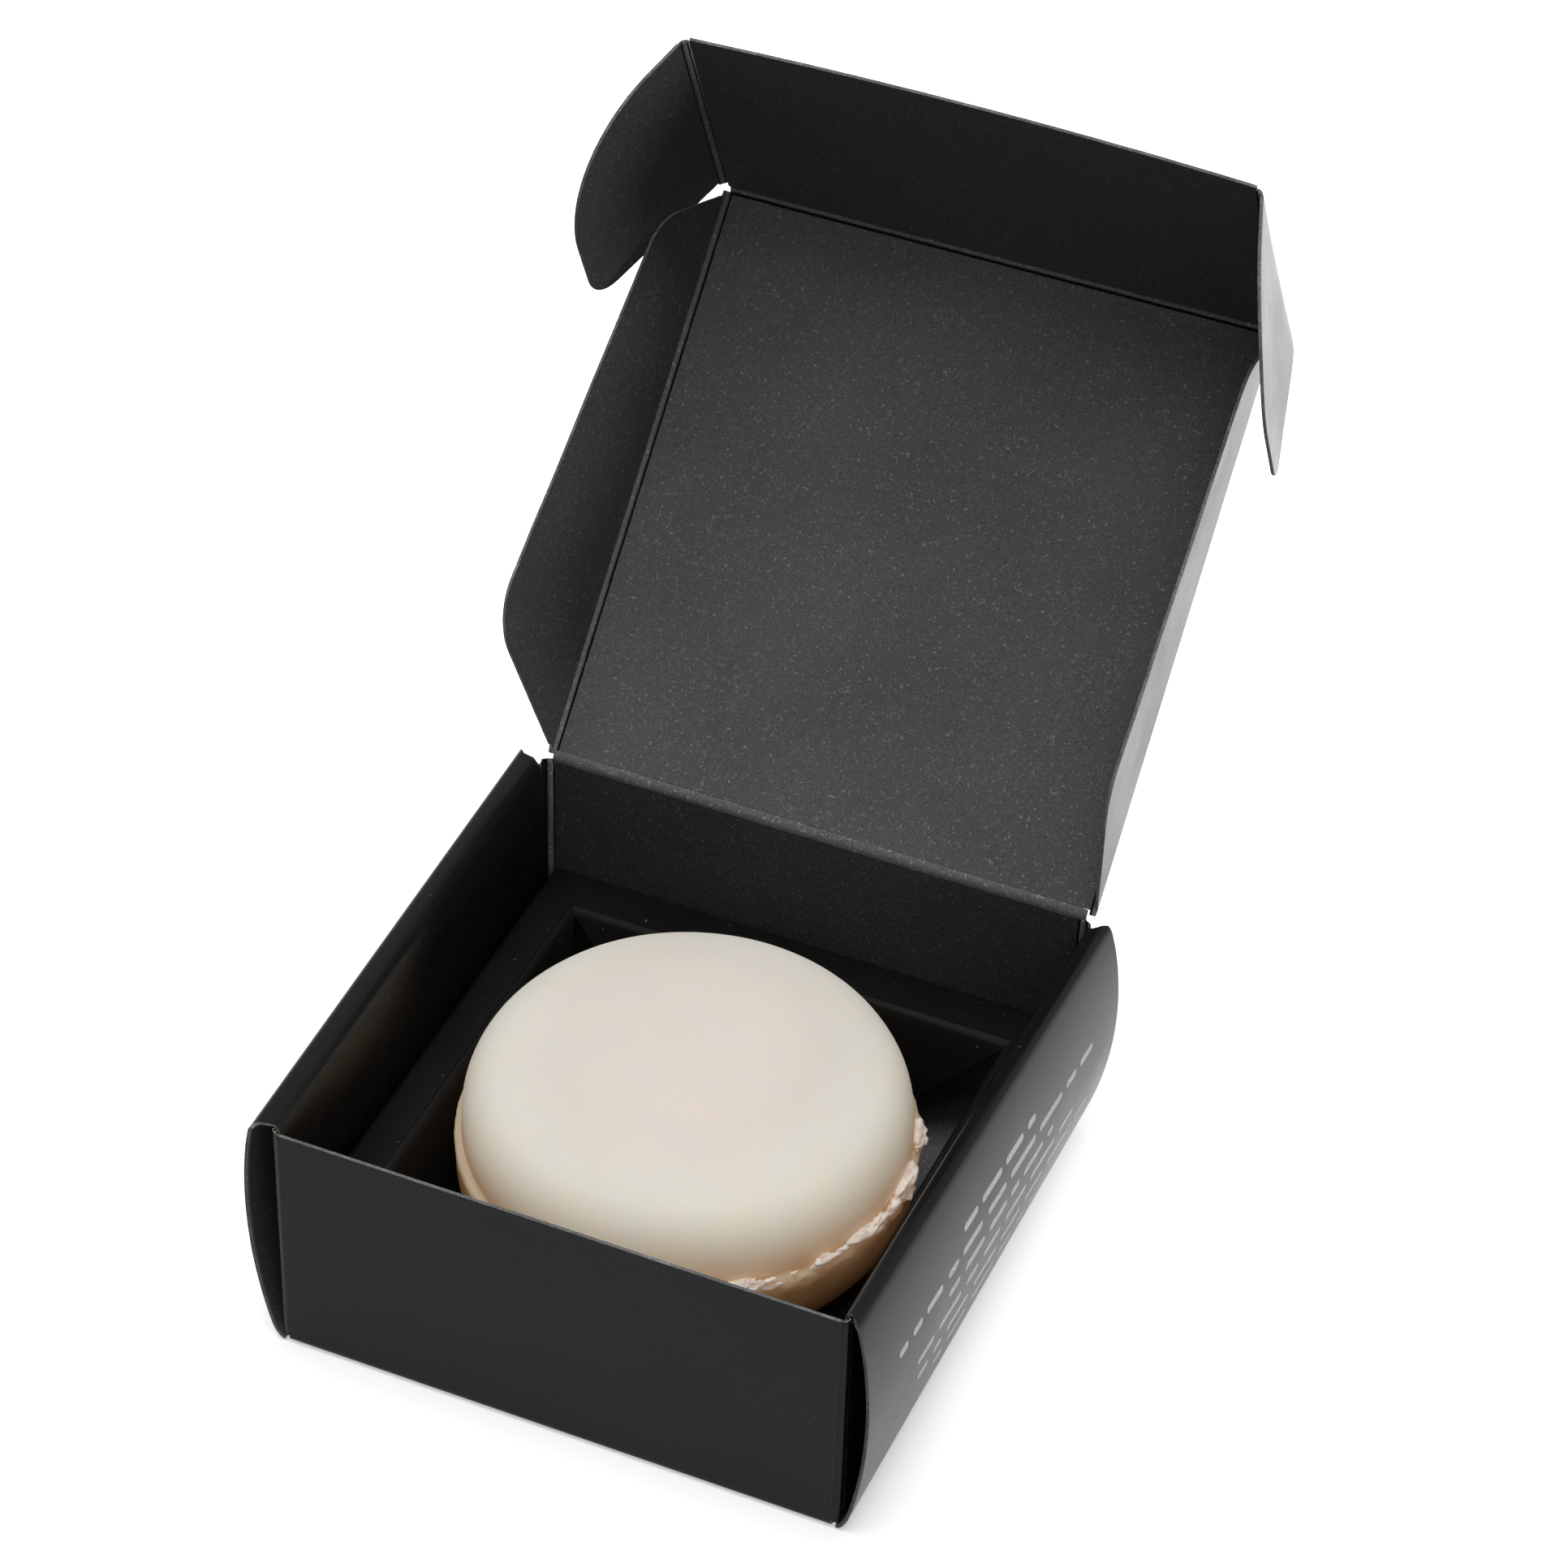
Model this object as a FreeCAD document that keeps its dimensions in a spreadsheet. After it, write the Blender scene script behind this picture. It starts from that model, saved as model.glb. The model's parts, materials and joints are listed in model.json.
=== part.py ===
import FreeCAD, Part
import math
import os
import re

import Sketcher
from FreeCAD import Placement, Rotation, Vector

# A round cast soap bar in its folding carton: a roll-over side-wall box with a tuck-front lid,
# standing open, and a folded board insert whose square well holds the bar.
# Origin: centre of the underside of the base. +X right, +Y towards the hinge, +Z up, millimetres.

DRIVING = {
    # board and carton, outside sizes
    "board": 0.5,
    "half_width": 42.5,
    "half_depth": 44.0,
    "wall_height": 40.4,
    "fold_height": 40.5,
    # roll-over side walls
    "inner_wall": 42.0,
    "fold_reach": 44.0,
    "side_bow": 3.0,
    "side_panel_inset": 0.125,
    "corner_flap_length": 36.0,
    "corner_flap_slant": 5.0,
    "tab_length": 16.0,
    "tab_spacing": 25.0,
    "slot_play": 0.1,
    # lid, measured from its creases; every panel stops short of its crease
    "crease_gap": 0.45,
    "hinge_depth": 43.75,
    "hinge_height": 40.85,
    "lid_length": 88.25,
    "lid_crease": 41.0,
    "lid_flap_start": 1.0,
    "lid_flap_end": 86.9,
    "lid_flap_height": 21.5,
    "lid_flap_fall": 8.9,
    "lid_flap_back": 15.8,
    "lid_flap_front": 79.5,
    "lid_flap_back_round": 11.0,
    "lid_flap_front_round": 9.0,
    "front_flap_length": 38.0,
    "ear_crease": 43.0,
    "ear_length": 27.9,
    "ear_start": 2.2,
    "ear_shoulder": 4.6,
    "ear_end": 37.3,
    "ear_small_round": 5.0,
    "ear_large_round": 20.0,
    # how far each crease stands folded, in degrees
    "lid_open": 134.6,
    "front_flap_fold": 69.6,
    "left_flap_fold": 70.0,
    "right_flap_fold": 85.0,
    "left_ear_fold": 70.0,
    "right_ear_fold": 67.0,
    # insert
    "insert_half_width": 40.6,
    "insert_half_depth": 43.2,
    "insert_top": 19.7,
    "insert_foot": 0.7,
    "well_half_width": 34.5,
    "well_half_depth": 35.5,
    "well_round": 1.0,
    "well_flap_length": 15.0,
    "well_flap_lean": 20.0,
    "well_flap_inset": 1.0,
    "well_flap_gap": 0.02,
    # soap
    "soap_radius": 32.3,
    "soap_ridge_radius": 33.1,
    "soap_ridge_height": 1.2,
    "soap_half_height": 18.6,
    "soap_parting": 19.5,
    "soap_fullness": 2.7,
}

X = Vector(1, 0, 0)
Y = Vector(0, 1, 0)
Z = Vector(0, 0, 1)
ROOT = -1  # the sketcher's number for the sketch origin
START = 1  # the sketcher's numbers for a curve's points
END = 2
MIDDLE = 3

doc = FreeCAD.newDocument("soap_carton")
sheet = doc.addObject("Spreadsheet::Sheet", "Sizes")
for row, (alias, value) in enumerate(DRIVING.items(), start=1):
    sheet.set(f"A{row}", alias)
    sheet.set(f"B{row}", str(value))
    sheet.setAlias(f"B{row}", alias)
doc.recompute()
pieces = []


def size(alias):
    """A driving dimension, read from the sheet."""
    return float(sheet.get(alias))


def bound(text):
    """A formula of sheet aliases, written so that any object can use it."""

    def full_name(word):
        return f"Sizes.{word[0]}" if word[0] in DRIVING else word[0]

    return re.sub(r"[a-z_]+", full_name, text)


def number(text):
    """What a formula of sheet aliases comes to."""
    return float(sheet.evalExpression(bound(text)))


def new_body(label):
    body = doc.addObject("PartDesign::Body", label)
    body.Label = label
    pieces.append(body)
    return body


def new_sketch(body):
    """An empty sketch on the body's own XY plane."""
    sketch = body.newObject("Sketcher::SketchObject", body.Name + "_outline")
    plane = next(f for f in body.Origin.OriginFeatures if f.Role == "XY_Plane")
    sketch.AttachmentSupport = (plane, "")
    sketch.MapMode = "FlatFace"
    return sketch


def pin_to_sheet(sketch, curve, point, along, across):
    """Hold one point of a curve at two formulas from the sketch origin."""
    for kind, text in (("DistanceX", along), ("DistanceY", across)):
        spot = sketch.addConstraint(Sketcher.Constraint(kind, ROOT, START, curve, point, number(text)))
        sketch.setExpression(f"Constraints[{spot}]", bound(text))


def draw_outline(sketch, corners, rounds):
    """A closed run of straight lines, anticlockwise through corners given as pairs of formulas.

    rounds gives the radius, as a formula, of each corner that is rounded, by its number.
    """
    spots = [Vector(number(along), number(across), 0) for along, across in corners]
    first = sketch.GeometryCount
    for here, there in zip(spots, spots[1:] + spots[:1]):
        sketch.addGeometry(Part.LineSegment(here, there))
    for step, (along, across) in enumerate(corners):
        before = first + (step - 1) % len(corners)
        after = first + step
        if step in rounds:
            round_corner(sketch, before, after, spots, step, corners[step], rounds[step])
        else:
            sketch.addConstraint(Sketcher.Constraint("Coincident", before, END, after, START))
            pin_to_sheet(sketch, after, START, along, across)


def round_corner(sketch, before, after, spots, step, corner, radius):
    """An arc of its own radius that touches both lines of a corner, which a point keeps in place."""
    spot = spots[step]
    arriving = (spot - spots[step - 1]).normalize()
    leaving = (spots[(step + 1) % len(spots)] - spot).normalize()
    reach = number(radius) * math.tan(arriving.getAngle(leaving) / 2)
    inward = (leaving - arriving).normalize()
    depth = math.hypot(reach, number(radius)) - number(radius)
    path = (spot - arriving * reach, spot + inward * depth, spot + leaving * reach)
    arc = sketch.addGeometry(Part.Arc(*path))
    point = sketch.addGeometry(Part.Point(spot), True)
    pin_to_sheet(sketch, point, START, *corner)
    for line in (before, after):
        sketch.addConstraint(Sketcher.Constraint("PointOnObject", point, START, line))
    sketch.addConstraint(Sketcher.Constraint("Tangent", before, END, arc, START))
    sketch.addConstraint(Sketcher.Constraint("Tangent", arc, END, after, START))
    rule = sketch.addConstraint(Sketcher.Constraint("Radius", arc, number(radius)))
    sketch.setExpression(f"Constraints[{rule}]", bound(radius))


def thicken(body, sketch, length):
    """Pad a sketch to both sides of its plane."""
    pad = body.newObject("PartDesign::Pad", body.Name + "_sheet")
    pad.Profile = sketch
    pad.SideType = "Symmetric"
    pad.setExpression("Length", bound(length))
    doc.recompute()


def stand(body, origin, along, across):
    """Place a body so that its own X runs along, its Y across, and its sketch plane holds origin."""
    turn = Rotation(along, across, along.cross(across), "XYZ")
    body.Placement = Placement(origin, turn)


def board_panel(label, corners, origin, along, across, rounds=None, windows=(), window_rounds=None):
    """A flat panel of board, one thickness through, centred on the plane through origin."""
    body = new_body(label)
    sketch = new_sketch(body)
    draw_outline(sketch, corners, rounds or {})
    for window in windows:
        draw_outline(sketch, window, window_rounds or {})
    thicken(body, sketch, "board")
    stand(body, origin, along, across)


def rectangle(low_along, high_along, low_across, high_across):
    return [
        (low_along, low_across),
        (high_along, low_across),
        (high_along, high_across),
        (low_along, high_across),
    ]


# ---------------------------------------------------------------- carton

half_board = size("board") / 2


def base_panel():
    """The floor, with a pair of slots beside each side wall for its lock tabs."""
    slots = []
    for inner, outer in (
        ("inner_wall - board - slot_play", "inner_wall + slot_play"),
        ("-inner_wall - slot_play", "-inner_wall + board + slot_play"),
    ):
        for middle in ("-tab_spacing", "tab_spacing"):
            near = f"{middle} - tab_length / 2 - slot_play"
            far = f"{middle} + tab_length / 2 + slot_play"
            slots.append(rectangle(inner, outer, near, far))
    outline = rectangle("-half_width", "half_width", "-half_depth", "half_depth")
    board_panel("base_panel", outline, Vector(0, 0, half_board), X, Y, windows=slots)


def end_wall(label, side):
    """The front or back wall, standing on the floor's edge."""
    depth = side * (size("half_depth") - half_board)
    outline = rectangle("-half_width", "half_width", "board", "wall_height")
    board_panel(label, outline, Vector(0, depth, 0), X, Z)


def corner_flap(label, across_side, depth_side):
    """A flap that turns in from an end wall and hides between the two layers of a side wall."""
    outline = [
        ("0", "2 * board"),
        ("corner_flap_length", "2 * board + corner_flap_slant"),
        ("corner_flap_length", "wall_height - 2 * board - corner_flap_slant"),
        ("0", "wall_height - 2 * board"),
    ]
    reach = across_side * (size("half_width") - half_board)
    depth = depth_side * (size("half_depth") - size("board"))
    board_panel(label, outline, Vector(reach, depth, 0), Y * -depth_side, Z)


def inner_side_panel(label, side):
    """The inner layer of a side wall, with two tabs at its foot that lock through the floor."""
    end = "half_depth - board"
    outline = [(f"-({end})", "board")]
    for middle in ("-tab_spacing", "tab_spacing"):
        near = f"{middle} - tab_length / 2"
        far = f"{middle} + tab_length / 2"
        outline += [(near, "board"), (near, "0"), (far, "0"), (far, "board")]
    top = "fold_height - board"
    outline += [(end, "board"), (end, top), (f"-({end})", top)]
    board_panel(label, outline, Vector(side * (size("inner_wall") - half_board), 0, 0), Y, Z)


def top_fold(label, side):
    """The narrow strip on top of a side wall, where the board rolls over."""
    end = "half_depth - board"
    outline = rectangle("inner_wall - board", "fold_reach", f"-({end})", end)
    height = size("fold_height") - half_board
    board_panel(label, outline, Vector(0, 0, height), X * side, Y)


def outer_side_panel(label, side):
    """The outer layer of a side wall, bowed outwards between the floor and the top fold."""
    body = new_body(label)
    sketch = new_sketch(body)
    foot = Vector(number("half_width + board"), 0, 0)
    head = Vector(number("fold_reach"), number("fold_height - board"), 0)
    lean = "fold_reach - half_width - board"
    rise = "fold_height - board"
    radius = f"(({lean})^2 + ({rise})^2) / (8 * side_bow) + side_bow / 2"
    outward = (head - foot).cross(Z).normalize()
    crown = (foot + head) * 0.5 + outward * size("side_bow")
    inset = Vector(size("board"), 0, 0)
    outer = sketch.addGeometry(Part.Arc(foot, crown, head))
    inner = sketch.addGeometry(Part.Arc(foot - inset, crown - inset, head - inset))
    bottom = sketch.addGeometry(Part.LineSegment(foot - inset, foot))
    top = sketch.addGeometry(Part.LineSegment(head - inset, head))
    for line, near in ((bottom, START), (top, END)):
        sketch.addConstraint(Sketcher.Constraint("Coincident", line, START, inner, near))
        sketch.addConstraint(Sketcher.Constraint("Coincident", line, END, outer, near))
        sketch.addConstraint(Sketcher.Constraint("Horizontal", line))
    pin_to_sheet(sketch, outer, START, "half_width + board", "0")
    pin_to_sheet(sketch, outer, END, "fold_reach", rise)
    sketch.addConstraint(Sketcher.Constraint("Coincident", outer, MIDDLE, inner, MIDDLE))
    for arc, text in ((outer, radius), (inner, f"{radius} - board")):
        spot = sketch.addConstraint(Sketcher.Constraint("Radius", arc, number(text)))
        sketch.setExpression(f"Constraints[{spot}]", bound(text))
    thicken(body, sketch, "2 * (half_depth - side_panel_inset)")
    stand(body, Vector(0, 0, 0), X * side, Z)


def carton():
    base_panel()
    end_wall("front_wall", -1)
    end_wall("back_wall", 1)
    for name, side in (("left", -1), ("right", 1)):
        outer_side_panel(f"{name}_outer_side_panel", side)
        top_fold(f"{name}_top_fold", side)
        inner_side_panel(f"{name}_inner_side_panel", side)
        corner_flap(f"front_{name}_corner_flap", side, -1)
        corner_flap(f"back_{name}_corner_flap", side, 1)


# ------------------------------------------------------------------- lid


def turned(start, end, degrees):
    """The direction reached by turning from one direction towards another at right angles to it."""
    angle = math.radians(degrees)
    return start * math.cos(angle) + end * math.sin(angle)


def lid():
    hinge = Vector(0, size("hinge_depth"), size("hinge_height"))
    along = turned(Y * -1, Z, size("lid_open"))
    inward = X.cross(along)
    tip = hinge + along * size("lid_length")
    down = turned(along, inward, size("front_flap_fold"))
    under = X.cross(down)

    outline = rectangle(
        "-(lid_crease - crease_gap)",
        "lid_crease - crease_gap",
        "crease_gap",
        "lid_length - crease_gap",
    )
    board_panel("lid_panel", outline, hinge, X, along)

    outline = rectangle(
        "-(ear_crease - crease_gap)",
        "ear_crease - crease_gap",
        "crease_gap",
        "front_flap_length",
    )
    board_panel("front_flap", outline, tip, X, down)

    for name, side in (("left", -1), ("right", 1)):
        crease = hinge + X * (side * size("lid_crease"))
        across = turned(X * side, inward, size(f"{name}_flap_fold"))
        side_flap(f"{name}_lid_flap", crease, along, across)
        crease = tip + X * (side * size("ear_crease"))
        across = turned(X * side, under, size(f"{name}_ear_fold"))
        lock_ear(f"{name}_lock_ear", crease, down, across)


def side_flap(label, crease, along, across):
    """A lid flap with a quick rounded rise by the hinge and a long straight fall to the front."""
    outline = [
        ("lid_flap_start", "crease_gap"),
        ("lid_flap_end", "crease_gap"),
        ("lid_flap_front", "lid_flap_height - lid_flap_fall"),
        ("lid_flap_back", "lid_flap_height"),
    ]
    rounds = {2: "lid_flap_front_round", 3: "lid_flap_back_round"}
    board_panel(label, outline, crease, along, across, rounds)


def lock_ear(label, crease, down, across):
    """An ear at the end of the front flap, which tucks into the slot in the side wall."""
    outline = [
        ("ear_start", "crease_gap"),
        ("ear_end", "crease_gap"),
        ("ear_end", "ear_length"),
        ("ear_shoulder", "ear_length"),
    ]
    rounds = {2: "ear_large_round", 3: "ear_small_round"}
    board_panel(label, outline, crease, down, across, rounds)


# ---------------------------------------------------------------- insert


def insert_platform():
    """The ledge around the soap, with a square well."""
    outline = rectangle(
        "-insert_half_width", "insert_half_width", "-insert_half_depth", "insert_half_depth"
    )
    well = rectangle("-well_half_width", "well_half_width", "-well_half_depth", "well_half_depth")
    height = size("insert_top") - half_board
    soft = dict.fromkeys(range(4), "well_round")
    origin = Vector(0, 0, height)
    board_panel("insert_platform", outline, origin, X, Y, windows=[well], window_rounds=soft)


def well_flap(label, outward, half_gap, half_length):
    """A flap folded down from one edge of the well, leaning in under the soap."""
    lean = math.radians(size("well_flap_lean"))
    down = outward * -math.sin(lean) - Z * math.cos(lean)
    top = f"{half_length} - well_flap_inset"
    foot = f"{top} - well_flap_length"
    outline = [
        (f"-({top})", "0"),
        (top, "0"),
        (foot, "well_flap_length"),
        (f"-({foot})", "well_flap_length"),
    ]
    underside = size("insert_top") - size("board")
    height = underside - half_board * math.sin(lean) - size("well_flap_gap")
    origin = outward * (size(half_gap) + half_board) + Z * height
    board_panel(label, outline, origin, outward.cross(Z), down)


def insert_support(label, outward, reach, half_length):
    """An outer edge of the insert, folded down to the floor to carry the platform."""
    outline = rectangle(f"-({half_length})", half_length, "insert_foot", "insert_top - board")
    origin = outward * (size(reach) - half_board)
    board_panel(label, outline, origin, outward.cross(Z), Z)


def insert():
    insert_platform()
    for name, outward in (("left", X * -1), ("right", X)):
        well_flap(f"{name}_well_flap", outward, "well_half_width", "well_half_depth")
        insert_support(
            f"{name}_insert_support", outward, "insert_half_width", "insert_half_depth - board"
        )
    for name, outward in (("front", Y * -1), ("back", Y)):
        well_flap(f"{name}_well_flap", outward, "well_half_depth", "well_half_width")
        insert_support(f"{name}_insert_support", outward, "insert_half_depth", "insert_half_width")


# ------------------------------------------------------------------ soap


def soap_puck():
    """Two domes of superellipse section, turned about Z, meeting at a thin raised ridge."""
    radius = size("soap_radius")
    ridge = size("soap_ridge_radius")
    half = size("soap_ridge_height") / 2
    rise = size("soap_half_height") - half
    power = 2 / size("soap_fullness")
    last = 8  # a dome's curve passes through this many points after its first

    def dome(side):
        spots = []
        for step in range(last):
            angle = math.pi / 2 * step / last
            reach = radius * math.cos(angle) ** power
            height = half + rise * math.sin(angle) ** power
            spots.append(Vector(reach, 0, side * height))
        spots.append(Vector(0, 0, side * (half + rise)))
        curve = Part.BSplineCurve()
        curve.interpolate(spots, InitialTangent=Z * side, FinalTangent=X * -1)
        return curve.toShape()

    lip = [
        Vector(radius, 0, -half),
        Vector(ridge, 0, -half),
        Vector(ridge, 0, half),
        Vector(radius, 0, half),
    ]
    edges = [Part.makeLine(here, there) for here, there in zip(lip, lip[1:])]
    top = Vector(0, 0, half + rise)
    edges += [dome(1), Part.makeLine(top, top * -1), dome(-1)]
    section = Part.Face(Part.Wire(Part.__sortEdges__(edges)))
    puck = doc.addObject("Part::Feature", "soap_puck")
    puck.Label = "soap_puck"
    puck.Shape = section.revolve(Vector(0, 0, 0), Z, 360)
    puck.Placement = Placement(Vector(0, 0, size("soap_parting")), Rotation())
    pieces.append(puck)


carton()
lid()
insert()
soap_puck()
doc.recompute()

for item in doc.Objects:
    if {"Invalid", "Error"} & set(item.State):
        raise RuntimeError(f"{item.Label} failed: {item.State}")
for piece in pieces:
    if piece.Shape.isNull() or not piece.Shape.isValid() or len(piece.Shape.Solids) != 1:
        raise RuntimeError(f"{piece.Label} is not one valid solid")

os.makedirs("parts", exist_ok=True)
for piece in pieces:
    piece.Shape.exportStep(f"parts/{piece.Label}.step")
    print(f"{piece.Label}: {piece.Shape.Volume:.1f} mm3")
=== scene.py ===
import json
import math
import random
from dataclasses import dataclass

import bpy
import numpy as np
from mathutils import Matrix, Vector, noise


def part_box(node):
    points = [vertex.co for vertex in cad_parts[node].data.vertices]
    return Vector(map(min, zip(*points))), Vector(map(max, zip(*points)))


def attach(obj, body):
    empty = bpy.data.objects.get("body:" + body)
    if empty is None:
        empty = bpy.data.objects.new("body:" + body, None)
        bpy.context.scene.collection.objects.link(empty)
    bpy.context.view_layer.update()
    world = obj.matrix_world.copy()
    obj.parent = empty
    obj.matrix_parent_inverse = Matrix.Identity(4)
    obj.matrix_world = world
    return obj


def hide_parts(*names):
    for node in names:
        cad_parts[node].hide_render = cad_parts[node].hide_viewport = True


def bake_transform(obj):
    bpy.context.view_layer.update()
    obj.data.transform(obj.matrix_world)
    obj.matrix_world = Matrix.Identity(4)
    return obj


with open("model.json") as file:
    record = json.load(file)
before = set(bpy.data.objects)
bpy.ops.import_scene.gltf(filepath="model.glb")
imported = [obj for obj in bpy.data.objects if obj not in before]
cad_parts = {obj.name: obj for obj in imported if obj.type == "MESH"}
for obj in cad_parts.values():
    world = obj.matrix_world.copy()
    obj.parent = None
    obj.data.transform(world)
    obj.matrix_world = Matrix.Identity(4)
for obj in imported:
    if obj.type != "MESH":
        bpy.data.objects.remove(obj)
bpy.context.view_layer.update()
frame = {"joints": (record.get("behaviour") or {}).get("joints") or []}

# A cast soap bar in its open folding carton. Shapes are worked out in millimetres and
# written to the meshes in metres. Directions: +X right, +Y towards the hinge, +Z up.

MM = 0.001
BOARD = 0.5
HALF_BOARD = BOARD / 2
COATED, FIBRE, RAW, SHADED_GROOVE = 0, 1, 2, 3  # a board piece's materials, in the order of its slots
X = np.array([1.0, 0.0, 0.0])
Y = np.array([0.0, 1.0, 0.0])
Z = np.array([0.0, 0.0, 1.0])

JOINTS = {joint["name"]: joint for joint in frame["joints"]}


def joint_point(name):
    return np.array(JOINTS[name]["pos_m"]) / MM


def joint_axis(name):
    return np.array(JOINTS[name]["axis"], float)


def node_box(name):
    """Lowest and highest corner of a CAD node, in millimetres."""
    low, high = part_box(name)
    return np.array(low) / MM, np.array(high) / MM


HINGE = joint_point("lid_hinge")
TIP = joint_point("front_flap_fold")
ALONG = joint_axis("left_flap_fold")  # from the hinge to the lid's front crease
DOWN = joint_axis("left_ear_fold")  # from that crease to the front flap's edge
LID_IN = np.cross(X, ALONG)  # the side of the lid that faces the soap
LID_LENGTH = float(np.linalg.norm(TIP - HINGE))
FRONT_FOLD = math.degrees(math.acos(float(ALONG @ DOWN)))
FLAP_REACH = joint_point("right_flap_fold")[0]
EAR_REACH = joint_point("right_ear_fold")[0]
LID_CREASES = {-1: FLAP_REACH + 1.0, 1: FLAP_REACH + 2.75}  # the lid is not quite centred
EAR_CREASES = {-1: EAR_REACH - 0.2, 1: EAR_REACH + 1.4}

HALF_WIDTH = node_box("front_wall")[1][0]
HALF_DEPTH = node_box("base_panel")[1][1]
WALL_TOP = node_box("front_wall")[1][2]
FOLD_TOP = node_box("left_top_fold")[1][2]
LEDGE = node_box("insert_platform")[1][2]
CREASE_GAP = 0.9  # how far a panel stops from its crease, where the crease piece takes over


def unit(v):
    return v / np.linalg.norm(v)


def unit_rows(vectors):
    return vectors / np.maximum(np.linalg.norm(vectors, axis=1), 1e-12)[:, None]


def turned(start, end, degrees):
    """The direction that leads from start towards end by an angle."""
    angle = math.radians(degrees)
    return start * math.cos(angle) + end * math.sin(angle)


def clamp(t):
    return min(max(t, 0.0), 1.0)


def wobble(point, scale, seed=0.0):
    """Smooth noise from -1 to 1 at a point in millimetres; scale is its size in millimetres."""
    return noise.noise(Vector(point) / scale + Vector((seed, seed * 1.7, seed * 0.3)))


# ---------- materials


def map_range(tree, value, low, high, to_low=0.0, to_high=1.0, interpolation="LINEAR"):
    """Carry a value from the range low to high into the range to_low to to_high."""
    node = tree.nodes.new("ShaderNodeMapRange")
    node.interpolation_type = interpolation
    for socket, amount in (("From Min", low), ("From Max", high), ("To Min", to_low), ("To Max", to_high)):
        node.inputs[socket].default_value = amount
    tree.links.new(value, node.inputs["Value"])
    return node.outputs["Result"]


class Look:
    """A material of procedural nodes, placed by the object's own coordinates in metres."""

    def __init__(self, name):
        self.material = bpy.data.materials.new(name)
        self.material.use_nodes = True
        self.tree = self.material.node_tree
        self.shader = self.tree.nodes["Principled BSDF"]
        self.where = self.tree.nodes.new("ShaderNodeTexCoord").outputs["Object"]

    def value(self, socket, amount):
        self.shader.inputs[socket].default_value = amount

    def subsurface(self, weight, radius, scale):
        self.value("Subsurface Weight", weight)
        self.value("Subsurface Radius", radius)
        self.value("Subsurface Scale", scale)

    def wire(self, socket, output):
        self.tree.links.new(output, self.shader.inputs[socket])

    def place(self, axis):
        """The distance from the object's origin along X, Y or Z."""
        node = self.tree.nodes.new("ShaderNodeSeparateXYZ")
        self.tree.links.new(self.where, node.inputs["Vector"])
        return node.outputs[axis]

    def noise(self, scale, detail, roughness):
        """Noise whose grain is about 1 / scale of a metre."""
        node = self.tree.nodes.new("ShaderNodeTexNoise")
        for socket, amount in (("Scale", scale), ("Detail", detail), ("Roughness", roughness)):
            node.inputs[socket].default_value = amount
        self.tree.links.new(self.where, node.inputs["Vector"])
        return node.outputs["Fac"]

    def ramp(self, value, *stops):
        """A colour ramp: stops are (position, colour) pairs, a colour being a grey or three numbers."""
        node = self.tree.nodes.new("ShaderNodeValToRGB")
        elements = node.color_ramp.elements
        while len(elements) < len(stops):
            elements.new(0.5)
        for element, (position, colour) in zip(elements, stops):
            rgb = colour if isinstance(colour, tuple) else (colour,) * 3
            element.position = position
            element.color = (*rgb, 1.0)
        self.tree.links.new(value, node.inputs["Fac"])
        return node.outputs["Color"]

    def mix(self, kind, factor, first, second):
        node = self.tree.nodes.new("ShaderNodeMix")
        node.data_type = "RGBA"
        node.blend_type = kind
        for socket, value in ((node.inputs[0], factor), (node.inputs[6], first), (node.inputs[7], second)):
            if isinstance(value, bpy.types.NodeSocket):
                self.tree.links.new(value, socket)
            elif isinstance(value, tuple):
                socket.default_value = (*value, 1.0)
            else:
                socket.default_value = value
        return node.outputs[2]

    def bump(self, height, strength, distance):
        """Relief from a height; distance is in millimetres."""
        node = self.tree.nodes.new("ShaderNodeBump")
        node.inputs["Strength"].default_value = strength
        node.inputs["Distance"].default_value = distance * MM
        self.tree.links.new(height, node.inputs["Height"])
        self.wire("Normal", node.outputs["Normal"])


def coated_board(name, base, roughness, specular):
    """Smooth matte black face with a faint grain, soft handling marks and a few dust specks."""
    look = Look(name)
    cloud = look.noise(60.0, 4.0, 0.55)
    grain = look.noise(5200.0, 2.0, 0.6)
    tone = look.ramp(cloud, (0.3, base * 0.85), (0.7, base * 1.15))
    tone = look.mix("MULTIPLY", 1.0, tone, look.ramp(grain, (0.35, 0.8), (0.65, 1.2)))
    dust = look.ramp(look.noise(1500.0, 1.0, 0.5), (0.775, 0.0), (0.80, 1.0))
    look.wire("Base Color", look.mix("MIX", dust, tone, (0.09, 0.09, 0.09)))
    look.wire("Roughness", look.ramp(cloud, (0.3, roughness - 0.04), (0.7, roughness + 0.05)))
    look.value("Specular IOR Level", specular)
    look.bump(grain, 0.12, 0.02)
    return look.material


def hairs(look, scale, width, cut):
    """Thin curly fibres: short stretches of the level lines of one noise, cut up by another."""
    field = look.noise(scale, 1.0, 0.4)
    lines = look.ramp(field, (0.5 - width, 0.0), (0.5, 1.0), (0.5 + width, 0.0))
    pieces = look.ramp(look.noise(scale * 1.37, 0.0, 0.5), (cut, 0.0), (cut + 0.03, 1.0))
    return look.mix("MULTIPLY", 1.0, lines, pieces)


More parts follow.
